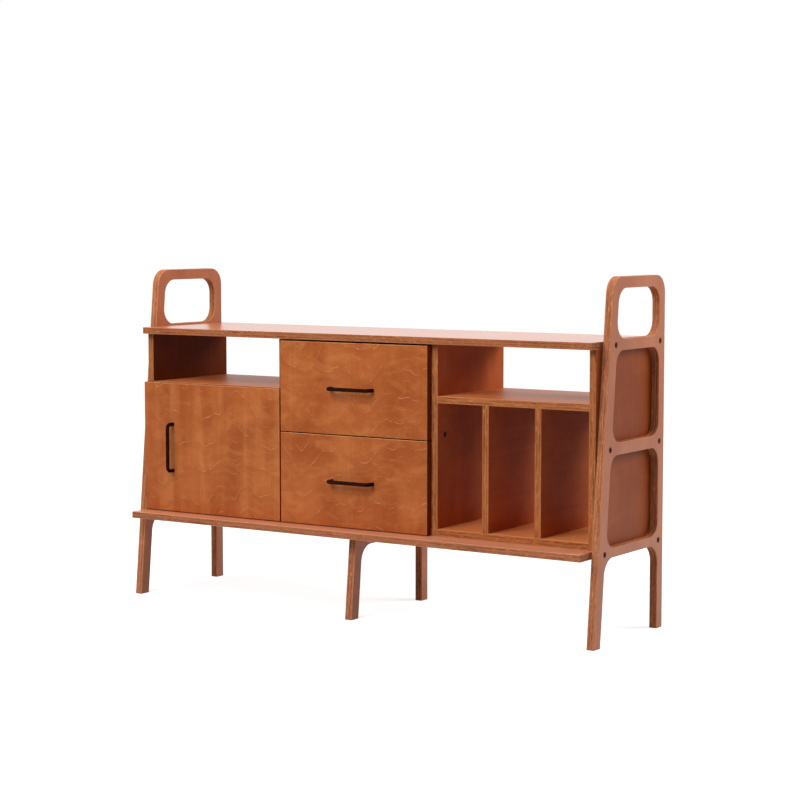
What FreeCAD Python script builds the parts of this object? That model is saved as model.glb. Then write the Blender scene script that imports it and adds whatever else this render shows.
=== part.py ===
import FreeCAD, Part
import math
import os

# A plywood credenza on two leaning side frames and a centre leg frame. It stands on the plane
# Z = 0 with its back towards +Y and the middle of its box over the origin. The left of the
# credenza, seen from the front, is -X. Every length is in millimetres.

# The two long boards
board_length = 1400.0
board_thickness = 18.0
base_board_depth = 404.0
top_board_depth = 350.5
base_board_underside_height = 218.0
top_board_underside_height = 725.0

# Side frames, each cut from one sheet
frame_rise = 157.0
frame_thickness = 21.0
frame_foot_depth = 369.0
frame_head_depth = 278.5
leg_width = 33.0
rear_stile_width = 30.5
front_stile_width = 36.0
handle_stile_width = 32.0
head_rail_height = 28.5
upper_rail_height = 28.0
middle_rail_height = 30.0
middle_rail_centre_height = 480.0
lower_rail_height = 24.0
head_corner_radius = 45.0
handle_hole_radius = 41.0
window_corner_radius = 38.0
arch_corner_radius = 45.0
centre_leg_rail_height = 28.0

# Carcass between the boards
carcass_depth = 329.0
drawer_bay_width = 462.0
shelf_underside_height = 575.0
partition_count = 2
drawer_rail_depth = 73.0
drawer_rail_cover = 3.5
back_panel_thickness = 6.0
back_rebate_width = 9.0
back_panel_clearance = 0.3

# Door and drawer fronts
front_thickness = 18.0
front_rear_gap = 1.8
front_base_gap = 2.0
door_frame_gap = 1.5
door_drawer_gap = 3.5
door_top_gap = 1.0
drawer_front_side_gap = 0.5
drawer_front_top_gap = 4.5
drawer_front_split_gap = 2.5

# Drawer boxes
drawer_wall_thickness = 12.0
drawer_bottom_thickness = 6.0
drawer_bottom_recess = 10.0
drawer_groove_depth = 5.0
drawer_groove_clearance = 0.1
drawer_box_length = 300.0
drawer_box_floor_gap = 8.0
drawer_box_top_gap = 45.0

# Telescopic drawer slides, three nested channels on each side of a drawer
slide_length = 300.0
slide_middle_length = 290.0
slide_height = 45.0
slide_space = 12.7
slide_sheet = 1.2
slide_running_gap = 0.4
slide_front_setback = 2.0
slide_height_above_box_floor = 60.0
slide_outer_flange = 11.2
slide_middle_web_offset = 4.6
slide_middle_flange = 6.4
slide_inner_flange = 6.3

# Rounding of the edges that stay in sight
board_edge_radius = 1.2
front_edge_radius = 1.5
frame_edge_radius = 1.5
drawer_edge_radius = 1.0

# Round bar handles
handle_hole_spacing = 128.0
handle_bar_radius = 5.0
handle_bend_radius = 11.0
handle_bar_stand_off = 24.0
door_handle_edge_inset = 100.5

# Connector bolts, barrel nuts and threaded inserts
bolt_shank_radius = 3.0
bolt_head_radius = 7.5
bolt_head_height = 4.0
bolt_head_recess = 0.5
bolt_socket_width = 5.0
bolt_socket_depth = 2.8
connector_bolt_length = 50.0
panel_bolt_length = 28.0
barrel_nut_radius = 5.0
barrel_nut_length = 12.0
barrel_nut_tip_offset = 3.5
threaded_insert_radius = 5.0
threaded_insert_length = 13.0
bolt_front_inset = 29.0
bolt_rear_inset = 25.5
fastener_clearance = 0.1
drilling_overrun = 1.0

# Wooden dowels
dowel_radius = 4.0
dowel_face_depth = 11.0
dowel_end_depth = 19.0
dowel_rear_inset = 75.0
dowel_bolt_spacing = 24.0

# Screws
leg_screw_length = 38.0
leg_screw_radius = 2.25
leg_screw_head_radius = 4.5
leg_screw_count = 4
board_screw_length = 30.0
board_screw_radius = 2.0
board_screw_head_radius = 4.0
board_screw_inset = 60.0
back_screw_length = 18.0
back_screw_radius = 1.5
back_screw_head_radius = 3.0
back_screw_end_inset = 40.0
back_screw_count = 3
fitting_screw_length = 14.0
fitting_screw_short_length = 10.0
fitting_screw_radius = 1.75
fitting_screw_head_radius = 3.5
fitting_screw_head_height = 1.8
slide_screw_inset = 35.0
handle_screw_radius = 2.0
handle_screw_head_radius = 4.0
handle_screw_head_height = 2.5
handle_screw_grip = 8.0
front_screw_length = 24.0
front_screw_side_inset = 60.0
front_screw_edge_inset = 35.0

# Door hinges: a cranked arm on the divider reaches a pin inside a notch in the door's edge
hinge_end_inset = 70.0
hinge_pin_radius = 1.5
hinge_pin_edge_inset = 4.5
hinge_pin_face_inset = 6.0
hinge_knuckle_radius = 3.0
hinge_knuckle_height = 14.0
hinge_knuckle_clearance = 0.05
hinge_arm_thickness = 2.5
hinge_arm_reach = 16.0
hinge_plate_length = 42.0
hinge_plate_screw_inset = 10.0
hinge_ear_thickness = 2.0
hinge_ear_gap = 0.3
hinge_leaf_thickness = 2.0
hinge_leaf_length = 38.0
hinge_leaf_height = 36.0
hinge_leaf_start = 16.0
hinge_leaf_ear_lap = 3.5
hinge_notch_clearance = 0.6

# Magnetic door catch under the left shelf
catch_length = 45.0
catch_depth = 14.0
catch_height = 14.0
catch_lug_length = 13.0
catch_lug_thickness = 3.0
catch_side_inset = 60.0
catch_gap = 0.3
catch_plate_length = 68.0
catch_plate_height = 12.0
catch_plate_thickness = 1.2
catch_plate_screw_inset = 6.0

# Places worked out from the sizes above
board_end_x = board_length / 2
frame_face_x = board_end_x + frame_thickness
side_inner_x = board_end_x - board_thickness
bay_side_x = drawer_bay_width / 2
divider_side_x = bay_side_x + board_thickness
rear_y = base_board_depth / 2
base_front_y = rear_y - base_board_depth
top_front_y = rear_y - top_board_depth
carcass_front_y = rear_y - carcass_depth
shelf_rear_y = rear_y - back_panel_thickness
front_rear_y = carcass_front_y - front_rear_gap
front_face_y = front_rear_y - front_thickness
base_top_z = base_board_underside_height + board_thickness
top_board_top_z = top_board_underside_height + board_thickness
overall_height = top_board_top_z + frame_rise
bottom_panel_top_z = base_top_z + board_thickness
shelf_top_z = shelf_underside_height + board_thickness
lower_board_centre_z = base_board_underside_height + board_thickness / 2
upper_board_centre_z = top_board_underside_height + board_thickness / 2

front_bottom_z = base_top_z + front_base_gap
door_top_z = shelf_top_z - door_top_gap
door_left_x = door_frame_gap - board_end_x
drawer_front_half_width = bay_side_x - drawer_front_side_gap
door_right_x = -drawer_front_half_width - door_drawer_gap
drawer_fronts_top_z = top_board_underside_height - drawer_front_top_gap
drawer_front_height = (drawer_fronts_top_z - front_bottom_z - drawer_front_split_gap) / 2
upper_front_bottom_z = front_bottom_z + drawer_front_height + drawer_front_split_gap
drawer_rail_underside_z = upper_front_bottom_z + drawer_rail_cover
drawer_rail_top_z = drawer_rail_underside_z + board_thickness
lower_bay_height = drawer_rail_underside_z - bottom_panel_top_z
upper_bay_height = top_board_underside_height - drawer_rail_top_z
drawer_box_height = min(lower_bay_height, upper_bay_height) - drawer_box_floor_gap \
    - drawer_box_top_gap

Vector = FreeCAD.Vector
left_side = -1
right_side = 1
sides = (left_side, right_side)
along_x = Vector(1, 0, 0)
along_y = Vector(0, 1, 0)
along_z = Vector(0, 0, 1)


def place(x, y, z):
    return Vector(x, y, z)


def block(low, high):
    """Box between two corners."""
    size = Vector(*high) - Vector(*low)
    return Part.makeBox(size.x, size.y, size.z, Vector(*low))


def rod(radius, length, start, direction):
    return Part.makeCylinder(radius, length, start, direction)


def rounded_outline(corners, radii):
    """Closed outline of straight sides, with a tangent arc at each corner that has a radius."""
    runs = []
    for index, (corner, radius) in enumerate(zip(corners, radii)):
        before = (corners[index - 1] - corner).normalize()
        after = (corners[(index + 1) % len(corners)] - corner).normalize()
        half_angle = before.getAngle(after) / 2
        tangent_length = radius / math.tan(half_angle)
        centre_distance = radius / math.sin(half_angle)
        middle = corner + (before + after).normalize() * (centre_distance - radius)
        runs.append((corner + before * tangent_length, middle, corner + after * tangent_length))
    edges = []
    for index, (start, middle, end) in enumerate(runs):
        if radii[index] > 0:
            edges.append(Part.Arc(start, middle, end).toShape())
        next_start = runs[(index + 1) % len(runs)][0]
        edges.append(Part.makeLine(end, next_start))
    return Part.Wire(edges)


def sheet_cut(corners, radii, depth):
    """Solid of a rounded outline, as thick as the vector depth is long."""
    return Part.Face(rounded_outline(corners, radii)).extrude(depth)


def bent_strip(path, thickness, depth):
    """Strip of metal that follows a path, with round bends."""
    pieces = []
    for start, end in zip(path, path[1:]):
        offset = (end - start).normalize().cross(depth).normalize() * (thickness / 2)
        corners = [start - offset, end - offset, end + offset, start + offset]
        pieces.append(sheet_cut(corners, [0] * len(corners), depth))
    for bend in path[1:-1]:
        pieces.append(rod(thickness / 2, depth.Length, bend, depth))
    return pieces[0].multiFuse(pieces[1:]).removeSplitter()


def hexagon_prism(width, length, start, direction):
    """Six-sided prism, its width measured across two opposite flats."""
    corner_radius = width / math.sqrt(3)
    side_count = 6
    corners = []
    for index in range(side_count):
        angle = math.tau * index / side_count
        corners.append(start + along_y * (corner_radius * math.cos(angle))
                       + along_z * (corner_radius * math.sin(angle)))
    return sheet_cut(corners, [0] * side_count, direction * length)


def bolt(face_point, direction, length):
    """Connector bolt with a flat socket head set a little below the face it enters."""
    head_start = face_point + direction * bolt_head_recess
    shank_start = head_start + direction * bolt_head_height
    head = rod(bolt_head_radius, bolt_head_height, head_start, direction)
    shank = rod(bolt_shank_radius, length, shank_start, direction)
    socket = hexagon_prism(bolt_socket_width, bolt_socket_depth, head_start, direction)
    return head.fuse(shank).cut(socket).removeSplitter()


def bolt_hole(face_point, direction, length):
    """Counterbored hole for a connector bolt."""
    head_depth = drilling_overrun + bolt_head_recess + bolt_head_height
    counterbore = rod(bolt_head_radius + fastener_clearance, head_depth,
                      face_point - direction * drilling_overrun, direction)
    bore_depth = bolt_head_recess + bolt_head_height + length + fastener_clearance
    bore = rod(bolt_shank_radius + fastener_clearance, bore_depth, face_point, direction)
    return counterbore.fuse(bore)


def countersunk_screw(face_point, direction, length, radius, head_radius, clearance=0):
    """Screw with a conical head that lies flush; with a clearance, the hole for it."""
    cone_height = head_radius - radius
    cone = Part.makeCone(head_radius + clearance, radius + clearance, cone_height,
                         face_point, direction)
    shank = rod(radius + clearance, length + clearance, face_point, direction)
    return cone.fuse(shank).removeSplitter()


def pan_screw(face_point, direction, length, radius, head_radius, head_height):
    """Screw with a flat head that stands on the face."""
    head = rod(head_radius, head_height, face_point - direction * head_height, direction)
    shank = rod(radius, length, face_point, direction)
    return head.fuse(shank).removeSplitter()


def screw_hole(face_point, direction, length, radius):
    return rod(radius + fastener_clearance, length + fastener_clearance + drilling_overrun,
               face_point - direction * drilling_overrun, direction)


def without(solid, cutters):
    """The solid less every cutter whose box meets it."""
    near = [cutter for cutter in cutters if cutter.BoundBox.intersect(solid.BoundBox)]
    if not near:
        return solid
    return solid.cut(near).removeSplitter()


def eased(board, radius, facing, *directions):
    """The board with its edges along the given directions rounded, on the side it faces."""
    box = board.BoundBox
    reach = max(facing.dot(corner) for corner in (place(box.XMin, box.YMin, box.ZMin),
                                                  place(box.XMax, box.YMax, box.ZMax)))
    edges = []
    for edge in board.Edges:
        start, end = (vertex.Point for vertex in edge.Vertexes)
        is_along = any((end - start).cross(direction).Length < radius for direction in directions)
        if is_along and min(facing.dot(start), facing.dot(end)) > reach - radius:
            edges.append(edge)
    return board.makeFillet(radius, edges)


def spread(low, high, count):
    """Evenly spaced places from low to high, both included."""
    step = (high - low) / (count - 1)
    return [low + step * index for index in range(count)]


os.makedirs("parts", exist_ok=True)


def save(name, solids):
    """Write one node: a single solid, or a group of separate ones."""
    shape = solids if isinstance(solids, Part.Shape) else Part.makeCompound(solids)
    shape.exportStep(f"parts/{name}.step")


# Side frames and centre leg frame

def frame_front_y(height):
    """Place of the leaning front edge at a height."""
    lean_share = height / overall_height
    return rear_y - frame_foot_depth + (frame_foot_depth - frame_head_depth) * lean_share


def frame_opening(low_z, high_z, stile_width, radius, plane_x):
    """Rounded window between two rails, with its front side parallel to the leaning edge."""
    inner_rear_y = rear_y - rear_stile_width
    corners = [
        place(plane_x, inner_rear_y, low_z),
        place(plane_x, inner_rear_y, high_z),
        place(plane_x, frame_front_y(high_z) + stile_width, high_z),
        place(plane_x, frame_front_y(low_z) + stile_width, low_z),
    ]
    return sheet_cut(corners, [radius] * len(corners), along_x * frame_thickness)


def frame_blank(plane_x, top_z, top_radius, arch_top_z):
    """Frame outline with two legs and the arch between them, before its windows are cut."""
    inner_rear_y = rear_y - rear_stile_width
    corners = [
        place(plane_x, rear_y, 0),
        place(plane_x, rear_y, top_z),
        place(plane_x, frame_front_y(top_z), top_z),
        place(plane_x, frame_front_y(0), 0),
        place(plane_x, frame_front_y(0) + leg_width, 0),
        place(plane_x, frame_front_y(arch_top_z) + leg_width, arch_top_z),
        place(plane_x, inner_rear_y, arch_top_z),
        place(plane_x, inner_rear_y, 0),
    ]
    radii = [0, top_radius, top_radius, 0, 0, arch_corner_radius, arch_corner_radius, 0]
    return sheet_cut(corners, radii, along_x * frame_thickness)


def rounded_frame(frame):
    """The frame with the outlines of both its faces rounded over, but for the soles."""
    edges = [edge for edge in frame.Edges
             if edge.BoundBox.XLength < frame_edge_radius and edge.BoundBox.ZMax > frame_edge_radius]
    return frame.makeFillet(frame_edge_radius, edges)


def end_frame(plane_x):
    lower_rail_low_z = lower_board_centre_z - lower_rail_height / 2
    lower_rail_high_z = lower_board_centre_z + lower_rail_height / 2
    middle_rail_low_z = middle_rail_centre_height - middle_rail_height / 2
    middle_rail_high_z = middle_rail_centre_height + middle_rail_height / 2
    upper_rail_low_z = upper_board_centre_z - upper_rail_height / 2
    upper_rail_high_z = upper_board_centre_z + upper_rail_height / 2
    head_rail_low_z = overall_height - head_rail_height
    openings = [
        frame_opening(lower_rail_high_z, middle_rail_low_z, front_stile_width,
                      window_corner_radius, plane_x),
        frame_opening(middle_rail_high_z, upper_rail_low_z, front_stile_width,
                      window_corner_radius, plane_x),
        frame_opening(upper_rail_high_z, head_rail_low_z, handle_stile_width,
                      handle_hole_radius, plane_x),
    ]
    blank = frame_blank(plane_x, overall_height, head_corner_radius, lower_rail_low_z)
    return rounded_frame(blank.cut(openings))


# Bolts: two rows hold the boards to the frames, one row holds the side panels, and one bolt
# through each divider holds the rail between the drawers

connector_bolts = []
panel_bolts = []
barrel_nuts = []
threaded_inserts = []
bolt_holes = []
nut_holes = []


def barrel_nut(bolt_tip, direction, board_underside_z):
    """Cross dowel that a bolt screws into, pushed in from under the board."""
    centre = bolt_tip - direction * barrel_nut_tip_offset
    low_z = board_underside_z + (board_thickness - barrel_nut_length) / 2
    start = place(centre.x, centre.y, low_z)
    nut = rod(barrel_nut_radius, barrel_nut_length, start, along_z)
    bore = rod(bolt_shank_radius, barrel_nut_tip_offset + barrel_nut_radius, bolt_tip, -direction)
    barrel_nuts.append(nut.cut(bore))
    hole_start = place(centre.x, centre.y, board_underside_z - drilling_overrun)
    hole_length = low_z + barrel_nut_length + fastener_clearance - hole_start.z
    nut_holes.append(rod(barrel_nut_radius + fastener_clearance, hole_length, hole_start, along_z))


def connect_board(face_x, y, board_underside_z, side):
    """Bolt from an upright face into the end of a board, with its barrel nut."""
    centre_z = board_underside_z + board_thickness / 2
    face_point = place(face_x * side, y, centre_z)
    direction = along_x * -side
    connector_bolts.append(bolt(face_point, direction, connector_bolt_length))
    bolt_holes.append(bolt_hole(face_point, direction, connector_bolt_length))
    reach = bolt_head_recess + bolt_head_height + connector_bolt_length
    barrel_nut(face_point + direction * reach, direction, board_underside_z)


def connect_panel(y, side):
    """Bolt through an end frame into a threaded insert in the side panel."""
    face_point = place(frame_face_x * side, y, middle_rail_centre_height)
    direction = along_x * -side
    panel_bolts.append(bolt(face_point, direction, panel_bolt_length))
    bolt_holes.append(bolt_hole(face_point, direction, panel_bolt_length))
    panel_face = place(board_end_x * side, y, middle_rail_centre_height)
    insert = rod(threaded_insert_radius, threaded_insert_length, panel_face, direction)
    bore = rod(bolt_shank_radius, threaded_insert_length, panel_face, direction)
    threaded_inserts.append(insert.cut(bore))
    nut_holes.append(rod(threaded_insert_radius, threaded_insert_length, panel_face, direction))


def bolt_rows(height):
    """Front and rear bolt places of an end frame at a height."""
    return (frame_front_y(height) + bolt_front_inset, rear_y - bolt_rear_inset)


drawer_rail_centre_y = carcass_front_y + drawer_rail_depth / 2
for side in sides:
    for bolt_y in bolt_rows(lower_board_centre_z):
        connect_board(frame_face_x, bolt_y, base_board_underside_height, side)
    for bolt_y in bolt_rows(upper_board_centre_z):
        connect_board(frame_face_x, bolt_y, top_board_underside_height, side)
    for bolt_y in bolt_rows(middle_rail_centre_height):
        connect_panel(bolt_y, side)
    connect_board(divider_side_x, drawer_rail_centre_y, drawer_rail_underside_z, side)

# Dowels: glued pins between the boards

dowels = []
dowel_holes = []


def dowel(joint_point, direction):
    """Dowel across a joint; the direction points into the board whose face it enters."""
    start = joint_point - direction * dowel_end_depth
    length = dowel_end_depth + dowel_face_depth
    dowels.append(rod(dowel_radius, length, start, direction))
    hole_start = start - direction * fastener_clearance
    dowel_holes.append(rod(dowel_radius + fastener_clearance, length + fastener_clearance * 2,
                           hole_start, direction))


dowel_front_y = bolt_rows(upper_board_centre_z)[0] - dowel_bolt_spacing
dowel_rear_y = rear_y - dowel_rear_inset
upright_centres_x = [side * (edge_x + board_thickness / 2)
                     for side in sides for edge_x in (side_inner_x, bay_side_x)]
partition_gap = (side_inner_x - divider_side_x - partition_count * board_thickness) \
    / (partition_count + 1)
partition_starts_x = [divider_side_x + partition_gap + index * (partition_gap + board_thickness)
                      for index in range(partition_count)]

for dowel_y in (dowel_front_y, (dowel_front_y + dowel_rear_y) / 2, dowel_rear_y):
    for upright_x in upright_centres_x:
        dowel(place(upright_x, dowel_y, top_board_underside_height), along_z)
        dowel(place(upright_x, dowel_y, base_top_z), -along_z)
for dowel_y in (dowel_front_y, dowel_rear_y):
    shelf_centre_z = shelf_underside_height + board_thickness / 2
    for side in sides:
        dowel(place(side * side_inner_x, dowel_y, shelf_centre_z), along_x * side)
        dowel(place(side * divider_side_x, dowel_y, shelf_centre_z), along_x * -side)
    for partition_x in partition_starts_x:
        centre_x = partition_x + board_thickness / 2
        dowel(place(centre_x, dowel_y, shelf_underside_height), along_z)
        dowel(place(centre_x, dowel_y, bottom_panel_top_z), -along_z)
for side in sides:
    rail_centre_z = drawer_rail_underside_z + board_thickness / 2
    dowel_y = drawer_rail_centre_y + dowel_bolt_spacing
    dowel(place(side * bay_side_x, dowel_y, rail_centre_z), along_x * side)

# Screws under the boards and on the back panels

leg_screws = []
board_screws = []
back_screws = []
countersunk_holes = []

leg_screw_low_y = frame_front_y(base_board_underside_height) + bolt_front_inset
for screw_y in spread(leg_screw_low_y, rear_y - bolt_rear_inset, leg_screw_count):
    leg_screw_sizes = (leg_screw_length, leg_screw_radius, leg_screw_head_radius)
    face_point = place(0, screw_y, base_top_z)
    leg_screws.append(countersunk_screw(face_point, -along_z, *leg_screw_sizes))
    countersunk_holes.append(countersunk_screw(face_point, -along_z, *leg_screw_sizes,
                                               fastener_clearance))

bay_ranges_x = {
    "left": (-side_inner_x, -divider_side_x),
    "centre": (-bay_side_x, bay_side_x),
    "right": (divider_side_x, side_inner_x),
}
# The bays with a back panel end in front of it; the right bay is open at the back
bay_rears_y = {"left": shelf_rear_y, "centre": shelf_rear_y, "right": rear_y}
board_screw_sizes = (board_screw_length, board_screw_radius, board_screw_head_radius)
for low_x, high_x in bay_ranges_x.values():
    for screw_x in (low_x + board_screw_inset, high_x - board_screw_inset):
        for screw_y in (carcass_front_y + board_screw_inset, shelf_rear_y - board_screw_inset):
            face_point = place(screw_x, screw_y, base_board_underside_height)
            board_screws.append(countersunk_screw(face_point, along_z, *board_screw_sizes))
            countersunk_holes.append(countersunk_screw(face_point, along_z, *board_screw_sizes,
                                                       fastener_clearance))


def back_screw(x, z):
    sizes = (back_screw_length, back_screw_radius, back_screw_head_radius)
    face_point = place(x, rear_y, z)
    back_screws.append(countersunk_screw(face_point, -along_y, *sizes))
    countersunk_holes.append(countersunk_screw(face_point, -along_y, *sizes, fastener_clearance))


bottom_centre_z = base_top_z + board_thickness / 2
left_bay_low_x, left_bay_high_x = bay_ranges_x["left"]
for screw_x in spread(left_bay_low_x + back_screw_end_inset,
                      left_bay_high_x - back_screw_end_inset, back_screw_count):
    for screw_z in (bottom_centre_z, shelf_centre_z):
        back_screw(screw_x, screw_z)
for side in sides:
    rebate_centre_x = side * (bay_side_x + back_rebate_width / 2)
    for screw_z in spread(base_top_z + back_screw_end_inset,
                          top_board_underside_height - back_screw_end_inset, back_screw_count):
        back_screw(rebate_centre_x, screw_z)

# Hinge places and shapes, worked out around the pin

hinge_pin_x = door_right_x - hinge_pin_edge_inset
hinge_pin_y = front_face_y + hinge_pin_face_inset
hinge_centres_z = (front_bottom_z + hinge_end_inset, door_top_z - hinge_end_inset)
hinge_ear_offset = hinge_knuckle_height / 2 + hinge_ear_gap
hinge_stack_half_height = hinge_ear_offset + hinge_ear_thickness
hinge_plate_centre_x = -divider_side_x - hinge_arm_thickness / 2
hinge_bend_x = hinge_pin_x - hinge_arm_reach
hinge_bend_y = hinge_pin_y + hinge_arm_reach
hinge_plate_start_y = hinge_bend_y + (hinge_plate_centre_x - hinge_bend_x)
hinge_plate_end_y = hinge_plate_start_y + hinge_plate_length
hinge_leaf_right_x = hinge_pin_x - hinge_leaf_start
hinge_leaf_left_x = hinge_leaf_right_x - hinge_leaf_length
hinge_notch_left_x = hinge_leaf_right_x - hinge_leaf_ear_lap - hinge_notch_clearance
fitting_screws = []
fitting_screw_holes = []
door_screws = []
door_screw_holes = []
fitting_screw_head = (fitting_screw_head_radius, fitting_screw_head_height)


def fit_screw(face_point, direction, length, screws, holes):
    """Small flat-headed screw that holds a metal fitting, and its hole."""
    screws.append(pan_screw(face_point, direction, length, fitting_screw_radius,
                            *fitting_screw_head))
    holes.append(screw_hole(face_point, direction, length, fitting_screw_radius))


def hinge_arm(centre_z):
    """Knuckle round the pin, cranked arm and the plate that lies on the divider."""
    low_z = centre_z - hinge_knuckle_height / 2
    height = along_z * hinge_knuckle_height
    path = [
        place(hinge_pin_x, hinge_pin_y, low_z),
        place(hinge_bend_x, hinge_bend_y, low_z),
        place(hinge_plate_centre_x, hinge_plate_start_y, low_z),
        place(hinge_plate_centre_x, hinge_plate_end_y, low_z),
    ]
    knuckle = rod(hinge_knuckle_radius, hinge_knuckle_height, path[0], along_z)
    bore = rod(hinge_pin_radius + hinge_knuckle_clearance, hinge_knuckle_height, path[0], along_z)
    arm = knuckle.fuse(bent_strip(path, hinge_arm_thickness, height)).cut(bore)
    for screw_y in (hinge_plate_start_y + hinge_plate_screw_inset,
                    hinge_plate_end_y - hinge_plate_screw_inset):
        face_point = place(-divider_side_x - hinge_arm_thickness, screw_y, centre_z)
        fit_screw(face_point, along_x, fitting_screw_length, fitting_screws, fitting_screw_holes)
    return without(arm, fitting_screw_holes).removeSplitter()


def hinge_leaf(centre_z):
    """Plate sunk in the rear of the door, with two ears that hold the pin."""
    leaf = block((hinge_leaf_left_x, front_rear_y - hinge_leaf_thickness,
                  centre_z - hinge_leaf_height / 2),
                 (hinge_leaf_right_x, front_rear_y, centre_z + hinge_leaf_height / 2))
    ears = []
    for ear_z in (centre_z + hinge_ear_offset,
                  centre_z - hinge_ear_offset - hinge_ear_thickness):
        ear_corners = [
            place(hinge_leaf_right_x - hinge_leaf_ear_lap, hinge_pin_y - hinge_knuckle_radius, ear_z),
            place(hinge_pin_x + hinge_knuckle_radius, hinge_pin_y - hinge_knuckle_radius, ear_z),
            place(hinge_pin_x + hinge_knuckle_radius, hinge_pin_y + hinge_knuckle_radius, ear_z),
            place(hinge_leaf_right_x, front_rear_y, ear_z),
            place(hinge_leaf_right_x - hinge_leaf_ear_lap, front_rear_y, ear_z),
        ]
        ear_radii = [0, hinge_knuckle_radius, 0, 0, 0]
        ears.append(sheet_cut(ear_corners, ear_radii, along_z * hinge_ear_thickness))
    for screw_x in (hinge_leaf_left_x + hinge_plate_screw_inset,
                    hinge_leaf_right_x - hinge_plate_screw_inset):
        face_point = place(screw_x, front_rear_y, centre_z)
        fit_screw(face_point, -along_y, fitting_screw_short_length, door_screws, door_screw_holes)
    pin_hole = hinge_pin(centre_z)
    return without(leaf.multiFuse(ears), door_screw_holes + [pin_hole])


def hinge_pin(centre_z):
    start = place(hinge_pin_x, hinge_pin_y, centre_z - hinge_stack_half_height)
    return rod(hinge_pin_radius, hinge_stack_half_height * 2, start, along_z)


def hinge_pocket(centre_z):
    """Notch in the door's edge for the knuckle and ears, and the recess for the leaf."""
    half_height = hinge_stack_half_height + hinge_notch_clearance
    notch_front_y = hinge_pin_y - hinge_knuckle_radius - hinge_notch_clearance
    notch = block((hinge_notch_left_x, notch_front_y, centre_z - half_height),
                  (door_right_x + drilling_overrun, front_rear_y + drilling_overrun,
                   centre_z + half_height))
    recess = block((hinge_leaf_left_x - fastener_clearance, front_rear_y - hinge_leaf_thickness,
                    centre_z - hinge_leaf_height / 2 - fastener_clearance),
                   (hinge_leaf_right_x + fastener_clearance, front_rear_y + drilling_overrun,
                    centre_z + hinge_leaf_height / 2 + fastener_clearance))
    return notch.fuse(recess)


hinge_arms = [hinge_arm(centre_z) for centre_z in hinge_centres_z]
hinge_leaves = [hinge_leaf(centre_z) for centre_z in hinge_centres_z]
hinge_pins = [hinge_pin(centre_z) for centre_z in hinge_centres_z]

# Magnetic catch under the shelf, and its plate on the door

catch_centre_x = catch_side_inset + catch_length / 2 - side_inner_x
catch_front_y = front_rear_y + catch_plate_thickness + catch_gap
catch_plate_centre_z = shelf_underside_height - catch_height / 2
catch_body = block((catch_centre_x - catch_length / 2, catch_front_y,
                    shelf_underside_height - catch_height),
                   (catch_centre_x + catch_length / 2, catch_front_y + catch_depth,
                    shelf_underside_height))
catch_lug_reach = catch_length / 2 + catch_lug_length
catch_lugs = block((catch_centre_x - catch_lug_reach, carcass_front_y,
                    shelf_underside_height - catch_lug_thickness),
                   (catch_centre_x + catch_lug_reach, catch_front_y + catch_depth,
                    shelf_underside_height))
catch_plate = block((catch_centre_x - catch_plate_length / 2, front_rear_y,
                     catch_plate_centre_z - catch_plate_height / 2),
                    (catch_centre_x + catch_plate_length / 2,
                     front_rear_y + catch_plate_thickness,
                     catch_plate_centre_z + catch_plate_height / 2))
for side in sides:
    lug_point = place(catch_centre_x + side * (catch_lug_reach - catch_lug_length / 2),
                      catch_front_y + catch_depth / 2,
                      shelf_underside_height - catch_lug_thickness)
    fit_screw(lug_point, along_z, fitting_screw_length, fitting_screws, fitting_screw_holes)
    plate_point = place(catch_centre_x + side * (catch_plate_length / 2 - catch_plate_screw_inset),
                        front_rear_y + catch_plate_thickness, catch_plate_centre_z)
    fit_screw(plate_point, -along_y, fitting_screw_short_length, door_screws, door_screw_holes)
door_catch = without(catch_body.fuse(catch_lugs), fitting_screw_holes)
catch_plate = without(catch_plate, door_screw_holes)

# Drawer slides: on each side of a drawer a cabinet channel, a middle channel and a drawer
# channel nest in one another, and the offset from the divider is measured inwards

slide_front_y = carcass_front_y + slide_front_setback
slide_outer_half = slide_height / 2
slide_middle_half = slide_outer_half - slide_sheet - slide_running_gap
slide_inner_half = slide_middle_half - slide_sheet - slide_running_gap


def slide_block(side, centre_z, offsets, heights, length):
    """Bar along Y, between two offsets from the divider and two heights from the centre."""
    first_x = side * (bay_side_x - offsets[0])
    last_x = side * (bay_side_x - offsets[1])
    return block((min(first_x, last_x), slide_front_y, centre_z + heights[0]),
                 (max(first_x, last_x), slide_front_y + length, centre_z + heights[1]))


def slide_channel(side, centre_z, web, flange, half_height, length):
    """Channel with a web between two offsets and a flange at its top and bottom."""
    bars = [
        slide_block(side, centre_z, web, (-half_height, half_height), length),
        slide_block(side, centre_z, flange, (half_height - slide_sheet, half_height), length),
        slide_block(side, centre_z, flange, (-half_height, slide_sheet - half_height), length),
    ]
    return bars[0].multiFuse(bars[1:]).removeSplitter()


def cabinet_channel(side, centre_z):
    channel = slide_channel(side, centre_z, (0, slide_sheet), (0, slide_outer_flange),
                            slide_outer_half, slide_length)
    holes = []
    for screw_y in (slide_front_y + slide_screw_inset,
                    slide_front_y + slide_length - slide_screw_inset):
        face_point = place(side * (bay_side_x - slide_sheet), screw_y, centre_z)
        fit_screw(face_point, along_x * side, fitting_screw_length, fitting_screws, holes)
    fitting_screw_holes.extend(holes)
    return without(channel, holes)


def middle_channel(side, centre_z):
    web = (slide_middle_web_offset, slide_middle_web_offset + slide_sheet)
    flange = (slide_middle_web_offset, slide_middle_web_offset + slide_middle_flange)
    return slide_channel(side, centre_z, web, flange, slide_middle_half, slide_middle_length)


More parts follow.
